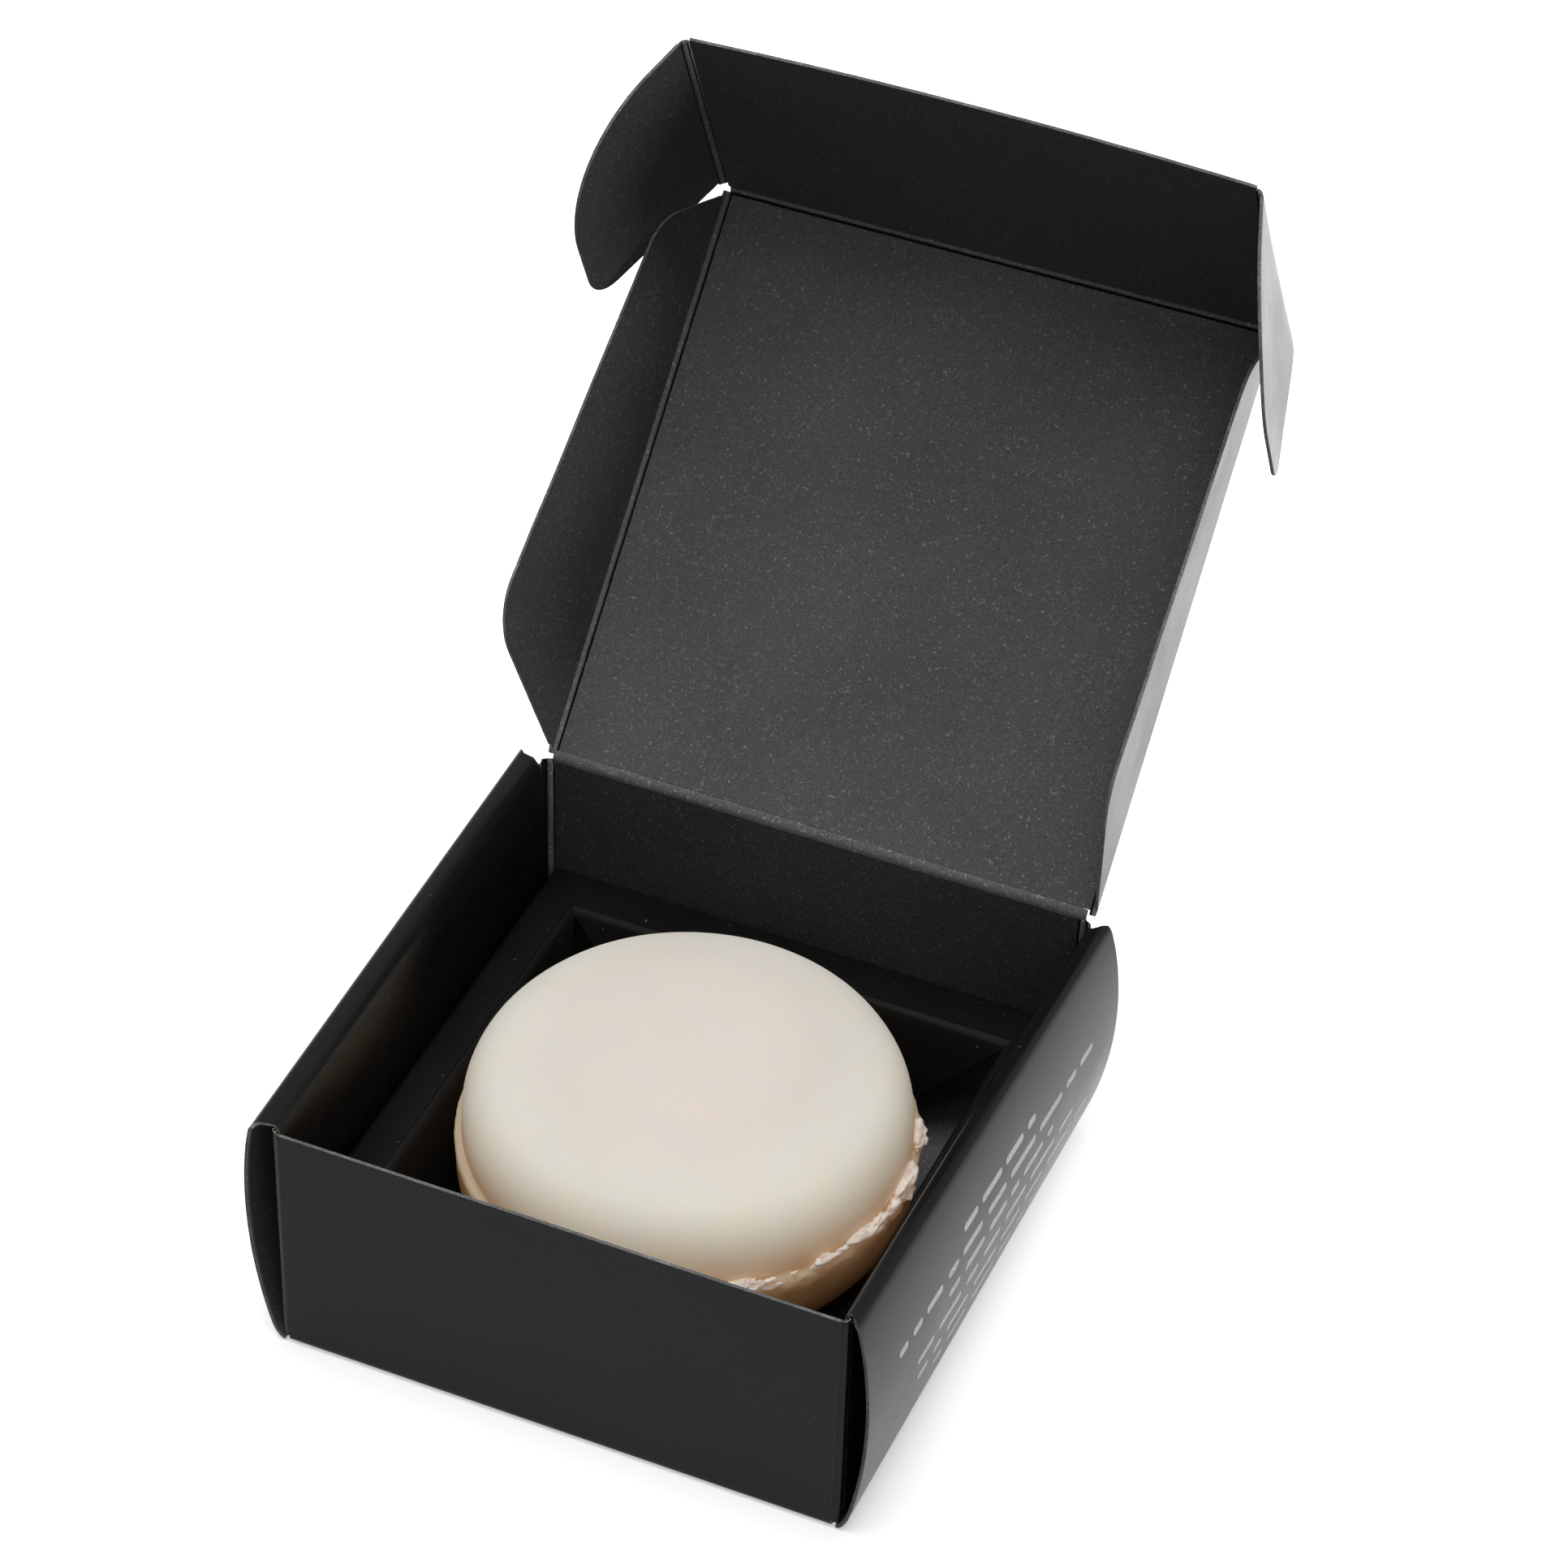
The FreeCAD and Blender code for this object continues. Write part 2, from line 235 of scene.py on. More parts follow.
def fibre_board(name, base, fleck, tooth=0.3):
    """Uncoated black face: a fine dense grain, sparse thin curly fibres and a few bright specks."""
    look = Look(name)
    long_hairs = hairs(look, 700.0, 0.012, 0.585)
    short_hairs = hairs(look, 1150.0, 0.02, 0.575)
    fibres = look.mix("LIGHTEN", 1.0, long_hairs, short_hairs)
    specks = look.ramp(look.noise(2100.0, 0.0, 0.5), (0.765, 0.0), (0.80, 1.0))
    grain = look.noise(4300.0, 3.0, 0.65)
    tone = look.ramp(grain, (0.28, base * 0.60), (0.72, base * 1.45))
    patches = look.ramp(look.noise(45.0, 3.0, 0.5), (0.3, 0.90), (0.7, 1.08))
    tone = look.mix("MULTIPLY", 1.0, tone, patches)
    bright = look.mix("LIGHTEN", 1.0, fibres, specks)
    look.wire("Base Color", look.mix("MIX", bright, tone, (fleck, fleck, fleck * 1.02)))
    look.value("Roughness", 0.85)
    look.value("Specular IOR Level", 0.15)
    look.bump(look.mix("ADD", 0.7, grain, fibres), tooth, 0.04)
    return look.material


def raw_edge(name, dark, light):
    """The cut edge of the board, where grey fibre shows."""
    look = Look(name)
    fuzz = look.noise(2400.0, 4.0, 0.7)
    scuffs = look.ramp(look.noise(160.0, 3.0, 0.6), (0.35, 0.7), (0.6, 1.0), (0.72, 1.6))
    tone = look.ramp(fuzz, (0.3, dark), (0.7, light))
    look.wire("Base Color", look.mix("MULTIPLY", 1.0, tone, scuffs))
    look.value("Roughness", 0.9)
    look.value("Specular IOR Level", 0.2)
    look.bump(fuzz, 0.6, 0.06)
    return look.material


# Painted shade: the tones darken from cream through tan to warm brown towards the bottom, warmed as for
# light carried through the translucent bar; the crown's faint pink is the bar's own.
SOAP_TONES_AND_PAINTED_SHADE = (  # from the shaded lower dome (0) to the crown (1); the parting is near 0.44
    (0.10, (0.40, 0.18, 0.06)),
    (0.36, (0.66, 0.39, 0.19)),
    (0.47, (0.82, 0.61, 0.41)),
    (0.57, (0.86, 0.70, 0.51)),
    (0.68, (0.86, 0.79, 0.67)),
    (0.90, (0.80, 0.765, 0.695)),
    (1.00, (0.80, 0.74, 0.675)),
)
SOAP_GLOW = (
    (0.10, (0.01, 0.004, 0.001)),
    (0.36, (0.035, 0.016, 0.005)),
    (0.47, (0.12, 0.074, 0.038)),
    (0.62, (0.18, 0.148, 0.108)),
    (0.84, (0.125, 0.119, 0.104)),
    (1.00, (0.0, 0.0, 0.0)),
)


def soap_material(parting, crown):
    """Ivory soap, faintly pink on the crown, with painted shade that darkens it to warm brown where it
    turns down to the parting.

    A little warm glow stands for the light that a thick translucent bar carries into its shaded sides.
    """
    look = Look("ivory_soap")
    shaded_depth = 12.0
    level = map_range(look.tree, look.place("Z"), (parting - shaded_depth) * MM, crown * MM)
    drifted = look.tree.nodes.new("ShaderNodeMath")
    drifted.operation = "MULTIPLY_ADD"
    drifted.inputs[1].default_value = 0.10
    look.tree.links.new(look.noise(55.0, 2.0, 0.5), drifted.inputs[0])
    look.tree.links.new(level, drifted.inputs[2])
    height = drifted.outputs["Value"]
    mottle = look.noise(130.0, 3.0, 0.55)
    clouds = look.ramp(mottle, (0.35, (0.97, 0.985, 1.0)), (0.65, (1.0, 0.985, 0.96)))
    look.wire("Base Color", look.mix("MULTIPLY", 1.0, look.ramp(height, *SOAP_TONES_AND_PAINTED_SHADE), clouds))
    look.wire("Emission Color", look.ramp(height, *SOAP_GLOW))
    look.value("Emission Strength", 1.0)
    look.value("Roughness", 0.52)
    look.value("Specular IOR Level", 0.35)
    look.subsurface(0.9, (1.0, 0.75, 0.55), 0.010)
    pits = look.ramp(look.noise(900.0, 2.0, 0.6), (0.25, 0.0), (0.34, 1.0))
    relief = look.mix("MIX", 0.5, pits, look.noise(260.0, 3.0, 0.5))
    look.bump(relief, 0.18, 0.12)
    return look.material


def crumb_material():
    """Dry broken soap: paler and rougher than the cast face."""
    look = Look("crumbled_soap")
    grit = look.noise(1400.0, 4.0, 0.7)
    look.wire("Base Color", look.ramp(grit, (0.3, (0.80, 0.64, 0.50)), (0.62, (0.93, 0.86, 0.78))))
    # Painted light: a faint warm glow that stands for light carried through the thin flakes.
    look.value("Emission Color", (1.0, 0.74, 0.54, 1.0))
    look.value("Emission Strength", 0.09)
    look.value("Roughness", 0.75)
    look.subsurface(0.7, (1.0, 0.7, 0.5), 0.002)
    look.bump(grit, 0.55, 0.12)
    return look.material


def print_material():
    """Pale ink, slightly worn."""
    look = Look("pale_ink")
    look.wire("Base Color", look.ramp(look.noise(2600.0, 3.0, 0.6), (0.3, 0.34), (0.6, 0.62)))
    look.value("Roughness", 0.6)
    return look.material


def floor_material():
    """Pale floor, lit up softly towards the back, as a curved studio sheet is."""
    look = Look("pale_floor")
    look.wire("Base Color", look.ramp(look.noise(3.0, 2.0, 0.5), (0.3, 0.94), (0.7, 0.96)))
    look.value("Roughness", 0.9)
    look.value("Specular IOR Level", 0.0)
    look.value("Emission Strength", 1.0)
    front, back = -0.10, 0.22
    glow = map_range(look.tree, look.place("Y"), front, back, 0.30, 1.1, "SMOOTHSTEP")
    look.wire("Emission Color", glow)
    return look.material


OUTSIDE = coated_board("coated_black_board", 0.006, 0.27, 0.13)
INSIDE = fibre_board("fibre_black_board", 0.076, 0.18)
# Painted shade: a darker copy of the fibre face for the insides of the lid's flaps and lock ears, where
# less light falls.
SHADED_FLAP_INSIDE = fibre_board("flap_fibre_board_painted_shade", 0.038, 0.09)
# Painted shade: a still darker copy of the fibre face for the insides of the end walls, where less light
# falls.
SHADED_WALL_INSIDE = fibre_board("wall_fibre_board_painted_shade", 0.027, 0.075)
RAISED = fibre_board("creased_board", 0.105, 0.30, 0.6)
EDGE = raw_edge("cut_board_edge", 0.08, 0.26)
INSERT_FACE = coated_board("insert_black_board", 0.006, 0.45, 0.16)
BOARD_LOOK = (OUTSIDE, INSIDE, EDGE)
SHADED_FLAP_LOOK = (OUTSIDE, SHADED_FLAP_INSIDE, EDGE)
SHADED_WALL_LOOK = (OUTSIDE, SHADED_WALL_INSIDE, EDGE)
INSERT_LOOK = (INSERT_FACE, INSIDE, INSERT_FACE)
# A crease's grooves take the near-black insert coating: painted shade in the grooves.
CREASE_LOOK = (OUTSIDE, RAISED, EDGE, INSERT_FACE)


# ---------- mesh building

RAGGED = 0.035  # how far a cut edge wanders
EASE = 0.05  # how far its corners are eased back
SHOULDER = 0.55  # where the eased corners begin, as a share of half the board


def make_piece(name, verts, faces, looks, indices=None, smooth_angle=40.0):
    """A mesh object from points in millimetres, with its materials and soft shading."""
    mesh = bpy.data.meshes.new(name)
    mesh.from_pydata([tuple(v) for v in np.asarray(verts) * MM], [], faces)
    for look in looks:
        mesh.materials.append(look)
    if indices is not None:
        mesh.polygons.foreach_set("material_index", indices)
    mesh.polygons.foreach_set("use_smooth", [True] * len(mesh.polygons))
    mesh.set_sharp_from_angle(angle=math.radians(smooth_angle))
    mesh.validate()
    piece = bpy.data.objects.new(name, mesh)
    bpy.context.scene.collection.objects.link(piece)
    return piece


def settle(piece, body, slot, *nodes):
    """Let a finished piece ride on its body and hide the CAD nodes it stands for; slot is not used."""
    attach(piece, body)
    if nodes:
        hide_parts(*nodes)


def grid(point, us, vs, skip=None):
    """Points and four-sided faces over point(u, v), leaving out the cells that skip names."""
    verts = [point(u, v) for v in vs for u in us]
    wide = len(us)
    faces = []
    for row in range(len(vs) - 1):
        for column in range(wide - 1):
            if skip and skip((us[column] + us[column + 1]) / 2, (vs[row] + vs[row + 1]) / 2):
                continue
            corner = row * wide + column
            faces.append((corner, corner + 1, corner + 1 + wide, corner + wide))
    return np.array(verts, float), faces


def bands(start, rings, around):
    """Four-sided faces between rings of points that follow one another from number start."""
    faces = []
    for ring in range(rings - 1):
        inner = start + ring * around
        outer = inner + around
        for k in range(around):
            after = (k + 1) % around
            faces.append((inner + k, outer + k, outer + after, inner + after))
    return faces


def fan(middle, start, around):
    """Three-sided faces from a middle point to the ring of points that begins at number start."""
    return [(middle, start + k, start + (k + 1) % around) for k in range(around)]


def ball(first, rings, around):
    """Faces over a top point, numbered first, then rings of points, then a bottom point."""
    last_ring = first + 1 + (rings - 1) * around
    underside = [face[::-1] for face in fan(last_ring + around, last_ring, around)]
    return fan(first, first + 1, around) + bands(first + 1, rings, around) + underside


def disc(outline, rings, place):
    """Points and faces that fill a closed outline from its middle; place(a, b) puts a point in space."""
    outline = np.array(outline, float)
    middle = (outline.min(0) + outline.max(0)) / 2
    count = len(outline)
    flat = [middle]
    for ring in range(1, rings + 1):
        flat += list(middle + (outline - middle) * ring / rings)
    return np.array([place(a, b) for a, b in flat]), fan(0, 1, count) + bands(1, rings, count)


def point_normals(verts, faces):
    normals = np.zeros_like(verts)
    for face in faces:
        corners = verts[list(face)]
        normal = np.cross(corners[1] - corners[0], corners[2] - corners[0])
        if len(face) == 4:
            normal = normal + np.cross(corners[2] - corners[0], corners[3] - corners[0])
        for k in face:
            normals[k] += normal
    return unit_rows(normals)


def rim_edges(faces):
    """The edges with a face on one side only, each in the direction of its face."""
    found = {}
    for face in faces:
        for here, there in zip(face, face[1:] + face[:1]):
            found[(here, there)] = True
    return [edge for edge in found if edge[::-1] not in found]


def rim_directions(verts, normals, edges):
    """For each point of an edge, the direction that leads out of the sheet there."""
    aside = np.zeros_like(verts)
    for here, there in edges:
        step = verts[there] - verts[here]
        for k in (here, there):
            aside[k] += np.cross(step, normals[k])
    return unit_rows(aside)


def board(name, surface, outward, looks=BOARD_LOOK):
    """A sheet of board around a middle surface, with its coated face towards outward.

    Its cut edges are eased and a little ragged.
    """
    verts, faces = surface
    normals = point_normals(verts, faces)
    used = sorted({k for face in faces for k in face})
    if np.dot(normals[used].mean(0), outward) < 0:
        faces = [face[::-1] for face in faces]
        normals = -normals
    edges = rim_edges(faces)
    rim = sorted({k for edge in edges for k in edge})
    aside = rim_directions(verts, normals, edges)
    body = verts.copy()
    for k in rim:
        body[k] += aside[k] * RAGGED * wobble(verts[k], 1.3, 4.0)
    shoulder = normals[rim] * HALF_BOARD * SHOULDER
    high, low = body[rim] + shoulder, body[rim] - shoulder
    body[rim] -= aside[rim] * EASE
    skin = normals * HALF_BOARD
    points = np.vstack([body + skin, body - skin, high, low])
    count = len(verts)
    above, below = 2 * count, 2 * count + len(rim)
    place = {k: n for n, k in enumerate(rim)}
    sides = []
    for here, there in edges:
        a, b = place[here], place[there]
        sides.append((there, here, above + a, above + b))
        sides.append((above + b, above + a, below + a, below + b))
        sides.append((below + b, below + a, count + here, count + there))
    back = [tuple(count + k for k in face[::-1]) for face in faces]
    everything = faces + back + sides
    indices = [COATED] * len(faces) + [FIBRE] * len(back) + [RAW] * len(sides)
    keep = sorted({k for face in everything for k in face})
    renumber = {k: n for n, k in enumerate(keep)}
    everything = [tuple(renumber[k] for k in face) for face in everything]
    return make_piece(name, points[keep], everything, looks, indices)


def corner_arc(corner, arriving, leaving, radius, step):
    """Points along the arc that rounds one corner, for a path that turns anticlockwise there."""
    turn = math.acos(max(-1.0, min(1.0, float(arriving @ leaving))))
    reach = radius * math.tan(turn / 2)
    centre = corner - arriving * reach + np.array([-arriving[1], arriving[0]]) * radius
    out, ahead = np.array([arriving[1], -arriving[0]]) * radius, arriving * radius
    steps = max(2, int(radius * turn / step))
    angles = [turn * n / steps for n in range(steps + 1)]
    return [centre + (out * math.cos(angle) + ahead * math.sin(angle)) for angle in angles]


def rounded_outline(corners, rounds):
    """Points round a polygon, anticlockwise, with arcs of the radii that rounds gives by corner."""
    step = 1.0
    crisp = 0.3  # the radius of the other corners
    corners = [np.array(c, float) for c in corners]
    path = []
    for k, corner in enumerate(corners):
        arriving = unit(corner - corners[k - 1])
        leaving = unit(corners[(k + 1) % len(corners)] - corner)
        path += corner_arc(corner, arriving, leaving, rounds.get(k, crisp), step)
    dense = []
    for here, there in zip(path, path[1:] + path[:1]):
        parts = max(1, int(np.linalg.norm(there - here) / step))
        dense += [here + (there - here) * n / parts for n in range(parts)]
    return dense


def curve_between(start, bend, end, steps):
    """A smooth turn from start to end that leans towards bend."""
    return [(1 - t) ** 2 * start + 2 * t * (1 - t) * bend + t * t * end for t in np.linspace(0, 1, steps)]


# ---------- creases

HALF_FOLD = HALF_BOARD - 0.008  # a creased strip is a hair thinner than its panels, to sit inside them
OUTER_POINTS = 9


def inner_normal(run, direction, inside):
    """The direction square to a crease's run and to one of its arms, on the inner side."""
    normal = unit(np.cross(run, direction))
    return normal if normal @ inside > 0 else -normal


def crease_profile(origin, arm_a, arm_b, inside, bead, groove):
    """The outline of a crease across its run: a folded strip with a raised bead between two grooves.

    The arms lead from the crease to the two panels' edges. Returns its points, outside first, and
    each point's material.
    """
    to_a, to_b = unit(arm_a), unit(arm_b)
    run = unit(np.cross(to_a, to_b))
    in_a, in_b = inner_normal(run, to_a, inside), inner_normal(run, to_b, inside)
    meet = (in_a + in_b) / (1 + in_a @ in_b)
    middle = unit(in_a + in_b)
    outer = curve_between(origin + arm_a - in_a * HALF_FOLD, origin - meet * HALF_FOLD,
                          origin + arm_b - in_b * HALF_FOLD, OUTER_POINTS)

    def bank(arm, to, inward, floor):
        """From a panel's edge down into its groove, whose floor begins that far from the edge."""
        reach = np.linalg.norm(arm)
        return [
            origin + arm + inward * HALF_FOLD,
            origin + to * (reach - 0.08) + inward * (HALF_FOLD - groove * 0.3),
            origin + to * (reach - floor) + inward * (HALF_FOLD - groove),
        ]

    sweep = math.acos(max(-1.0, min(1.0, float(to_a @ to_b)))) / 2 + math.radians(24)
    toward_b = unit(to_b - middle * (to_b @ middle))
    centre = origin + middle * (bead * 0.28)
    path = bank(arm_b, to_b, in_b, 0.20)
    for angle in np.linspace(sweep, -sweep, 9):
        path.append(centre + (middle * math.cos(angle) + toward_b * math.sin(angle)) * bead)
    path += bank(arm_a, to_a, in_a, 0.22)[::-1]
    looks = [COATED] * (len(outer) - 1) + [RAW]
    # The groove faces get the near-black coating, as painted shade.
    looks += [SHADED_GROOVE] * 3 + [FIBRE] * (len(path) - 7) + [SHADED_GROOVE] * 3 + [RAW]
    return outer + path, looks


def soft_profile(origin, arm_a, arm_b, inside, bead, groove):
    """The outline of a soft rounded fold: its inner side is one low ridge without grooves."""
    run = unit(np.cross(arm_a, arm_b))
    in_a, in_b = inner_normal(run, arm_a, inside), inner_normal(run, arm_b, inside)
    middle = unit(in_a + in_b)
    outer = curve_between(origin + arm_a - in_a * HALF_FOLD, origin - middle * (HALF_FOLD - groove),
                          origin + arm_b - in_b * HALF_FOLD, OUTER_POINTS)
    ridge = origin + middle * (HALF_FOLD + bead)
    foot = HALF_FOLD + bead * 0.25
    path = [origin + arm_b + in_b * HALF_FOLD]
    path += curve_between(origin + arm_b * 0.8 + in_b * foot, ridge, origin + arm_a * 0.8 + in_a * foot, 11)
    path.append(origin + arm_a + in_a * HALF_FOLD)
    looks = [COATED] * (len(outer) - 1) + [RAW] + [FIBRE] * (len(path) - 1) + [RAW]
    return outer + path, looks


def strip_faces(length, looks):
    """Faces and their materials over a run of rings, capped on a hub point at each end."""
    count = len(looks)
    faces = []
    for low in range(0, (length - 1) * count, count):
        for k in range(count):
            after = (k + 1) % count
            faces.append((low + k, low + after, low + count + after, low + count + k))
    first_hub, last_hub = length * count, length * count + 1
    faces += [face[::-1] for face in fan(first_hub, 0, count)]
    faces += fan(last_hub, (length - 1) * count, count)
    return faces, list(looks) * (length - 1) + [RAW] * (2 * count)


def crease(name, frame_at, span, inside, bead=0.5, groove=0.24, shape=crease_profile):
    """A creased strip from span[0] to span[1].

    frame_at(s) gives the crease's point at s and the arms from there to the two panels' edges.
    """
    spacing = 0.9
    stations = np.linspace(span[0], span[1], max(3, int((span[1] - span[0]) / spacing)))
    verts = []
    for n, station in enumerate(stations):
        origin, arm_a, arm_b = frame_at(station)
        swell = 1.0 + 0.10 * wobble((station, inside[0] * 9.0, inside[1] * 9.0), 3.0, 5.0)
        ring, looks = shape(origin, arm_a, arm_b, inside, bead * swell, groove)
        hub = np.mean(ring, axis=0)
        shrink = 0.9 if n in (0, len(stations) - 1) else 1.0
        for point, look in zip(ring, looks):
            spot = hub + (point - hub) * shrink
            if look == FIBRE:
                spot = spot + inside * 0.05 * wobble(spot, 1.1, 1.0)
            verts.append(spot)
    count = len(looks)
    hubs = [np.mean(verts[:count], axis=0), np.mean(verts[-count:], axis=0)]
    faces, indices = strip_faces(len(stations), looks)
    rings = np.array(verts).reshape(len(stations), count, 3)
    outward = (rings - rings.mean(1, keepdims=True)).reshape(-1, 3)
    verts = np.array(verts + hubs)
    if (point_normals(verts, faces)[:len(outward)] * outward).sum() < 0:
        faces = [face[::-1] for face in faces]
    return make_piece(name, verts, faces, CREASE_LOOK, indices, 50.0)


# ---------- carton

INNER_END = 1.75  # how far a side wall's inner panel stops short of the end wall's outside
INNER_FOOT = HALF_WIDTH - 0.75  # where it stands on the floor
TAB_PLACE, TAB_HALF = 25.0, 8.0  # its lock tabs: how far from the middle, and half their width
TAB_CLEARANCE = 0.1
FOOT_ROWS, OUTER_ROWS, TOP_ROWS, ROLL_ROWS, INNER_ROWS = 5, 17, 7, 5, 12
CREST_ROW = FOOT_ROWS + OUTER_ROWS + TOP_ROWS // 2  # the row on top of the wall


def bow(s):
    """How far a side wall has bowed out at share s of its height, from 0 to 1."""
    return math.sin(math.pi * clamp(s)) ** 0.7


@dataclass
class SideWall:
    """A side wall: one sheet from the floor up the bowed outside, over the top and down inside.

    side is -1 or 1. foot, belly, crown and inner are distances from the middle of the box to the
    outside's foot, its widest part, its top and the inner panel's top, each for the front end and
    the back end. roll is how far the sheet's turn down inside reaches.
    """

    side: int
    foot: tuple
    belly: tuple
    crown: tuple
    inner: tuple
    roll: float

    def between(self, pair, y):
        t = (y + HALF_DEPTH) / (2 * HALF_DEPTH)
        return pair[0] + (pair[1] - pair[0]) * t

    def outer(self, s, y):
        """Reach and height of the bowed outside at share s of its height."""
        foot, crown = self.between(self.foot, y), self.between(self.crown, y)
        extra = self.between(self.belly, y) - (foot + crown) / 2
        return np.array([foot + (crown - foot) * s + extra * bow(s), 0.3 + s * (FOLD_TOP - 0.6)])

    def section(self, y):
        """Reach and height pairs along the wall's middle surface, at depth y."""
        top = FOLD_TOP - HALF_BOARD
        crown, inner = self.between(self.crown, y), self.between(self.inner, y)
        start = np.array([HALF_WIDTH - 0.5, HALF_BOARD])
        heel = np.array([self.between(self.foot, y), HALF_BOARD])
        path = curve_between(start, heel, self.outer(0.05, y), FOOT_ROWS)
        path += [self.outer(s, y) for s in np.linspace(0.1, 0.9, OUTER_ROWS)]
        corner = np.array([crown + 0.15, top + 0.1])
        path += curve_between(self.outer(0.965, y), corner, np.array([crown - 0.8, top - 0.1]), TOP_ROWS)
        inward = np.array([inner, top - 0.35])
        reach = min(1.2, crown - 1.0 - inner)
        path += curve_between(inward + [reach, 0.2], inward, inward - [0.0, self.roll], ROLL_ROWS)
        for s in np.linspace(0.08, 1.0, INNER_ROWS):
            path.append(np.array([inner + (INNER_FOOT - inner) * s, top - 0.35 - (top - 1.15) * s]))
        path.append(np.array([INNER_FOOT, 0.02]))
        return path

    def inner_reach(self, y, z):
        """Where the inner panel stands at depth y and height z."""
        inner = self.between(self.inner, y)
        return inner + (INNER_FOOT - inner) * (FOLD_TOP - z) / FOLD_TOP

    def at(self, share, row):
        """A point on the wall: share runs from the front end (-1) to the back end (1)."""
        cut = clamp((row - CREST_ROW) / 5.0)
        y = share * (HALF_DEPTH - 0.1 - (INNER_END - 0.1) * cut)
        a, z = self.section(y)[row]
        y += 0.12 * wobble((a, share * 40.0, z), 14.0, self.side)
        return np.array([self.side * a, y, z])

    def build(self, name):
        rows = len(self.section(0.0))

        def skip(share, row):
            """The lowest row of the inner panel is left only where the lock tabs are."""
            along = abs(abs(share) * (HALF_DEPTH - INNER_END) - TAB_PLACE)
            return row > rows - 2 and along > TAB_HALF

        surface = grid(self.at, np.linspace(-1, 1, 73), range(rows), skip)
        piece = board(f"{name}_side_wall", surface, X * self.side + Z * 0.6)
        nodes = [f"{name}_{panel}" for panel in ("outer_side_panel", "top_fold", "inner_side_panel")]
        settle(piece, "carton", "carton_board", *nodes)


WALLS = {
    "left": SideWall(-1, (42.9, 43.1), (46.8, 47.3), (45.5, 47.0), (42.1, 43.3), 2.4),
    "right": SideWall(1, (42.7, 43.1), (45.8, 48.0), (43.5, 45.7), (41.6, 43.4), 0.6),
}


def end_wall(name, side, top):
    """Front or back wall, turning up from the floor through a soft fold."""
    depth = HALF_DEPTH - HALF_BOARD
    fold = 0.7
    path = curve_between(np.array([depth - fold, HALF_BOARD]), np.array([depth, HALF_BOARD]),
                         np.array([depth, HALF_BOARD + fold]), 6)
    path += [np.array([depth, z]) for z in np.linspace(1.6, top, 26)]
    edge = HALF_WIDTH - HALF_BOARD - CREASE_GAP

    def point(u, v):
        y, z = path[int(v)]
        swell = 0.15 * math.sin(math.pi * z / top) * math.cos(u * math.pi / 2)
        sway = 0.05 * wobble((u * edge, 0, z), 24.0, side) * min(1.0, z / 6.0)
        return np.array([u * edge, side * (y - swell + sway), z])

    surface = grid(point, np.linspace(-1, 1, 57), range(len(path)))
    settle(board(f"{name}_sheet", surface, Y * side, SHADED_WALL_LOOK), "carton", "carton_board", name)


def eased(t):
    t = clamp(t)
    return t * t * (3 - 2 * t)


def corner_flap(end, depth_side, name, side):
    """A flap that turns in behind the side wall's inner panel, with its creased corner."""
    reach = HALF_WIDTH - HALF_BOARD
    depth = HALF_DEPTH - HALF_BOARD
    foot, high = 1.2, WALL_TOP - 0.9
    length, taper = 35.0, 5.0

    def spot(away, z):
        behind = WALLS[name].inner_reach(depth_side * (depth - away), z) + 0.75
        lean = max(0.0, behind - reach) * eased(away / 1.5)
        return np.array([side * (reach + lean), depth_side * (depth - away), z])

    def point(u, v):
        slant = taper * u
        return spot(CREASE_GAP + u * u * length, (foot + slant) + v * (high - 2 * slant - foot))

    surface = grid(point, np.linspace(0, 1, 33), np.linspace(0, 1, 25))
    piece = board(f"{end}_{name}_corner_flap_sheet", surface, X * side)
    settle(piece, "carton", "carton_board", f"{end}_{name}_corner_flap")

    def frame_at(z):
        origin = np.array([side * reach, depth_side * depth, z])
        return origin, X * (-side * CREASE_GAP), spot(CREASE_GAP, z) - origin

    inside = unit(np.array([-side, -depth_side, 0.0]))
    strip = crease(f"{end}_{name}_corner_crease", frame_at, (1.0, WALL_TOP - 0.3), inside)
    settle(strip, "carton", "carton_board")


def base_panel():
    """The floor, with the four slots that the side walls' tabs pass through."""
    low, high = TAB_PLACE - TAB_HALF - TAB_CLEARANCE, TAB_PLACE + TAB_HALF + TAB_CLEARANCE
    slot_in, slot_out = HALF_WIDTH - 1.15, HALF_WIDTH - 0.42

    def steps(marks, reach):
        """Even steps, with the slots' edges among them."""
        near = [x for x in np.linspace(-reach, reach, 25) if min(abs(x - m) for m in marks) > 0.8]
        return sorted(near + marks)

    xs = steps([-slot_out, -slot_in, slot_in, slot_out], slot_out)
    ys = steps([-high, -low, low, high], HALF_DEPTH - 0.95)

    def skip(x, y):
        return slot_in < abs(x) < slot_out and low < abs(y) < high

    surface = grid(lambda x, y: np.array([x, y, HALF_BOARD]), xs, ys, skip)
    settle(board("base_panel_sheet", surface, -Z), "carton", "carton_board", "base_panel")


PRINT_ROWS = ((-12.0, 13.0), (-34.0, 37.0), (-17.0, 20.0), (-27.0, 29.0), (-26.0, 36.0), (-19.0, 18.0))
FIRST_ROW, ROW_PITCH, BAR_HEIGHT = 0.745, 0.1, 0.034  # shares of the right wall's height


def print_bar(start, stop, level):
    """Points, two by two, along one bar that lies on the right wall."""
    steps = max(2, int((stop - start) / 0.5))
    verts = []
    for n in range(steps + 1):
        depth = start + (stop - start) * n / steps
        taper = 0.55 if n in (0, steps) else 1.0
        for edge in (-1, 1):
            share = level + edge * BAR_HEIGHT / 2 * taper
            a, z = WALLS["right"].outer(share, depth)
            b, w = WALLS["right"].outer(share + 0.01, depth)
            normal = unit(np.array([w - z, 0.0, a - b]))
            verts.append(np.array([a, depth, z]) + normal * (HALF_BOARD + 0.02))
    return verts


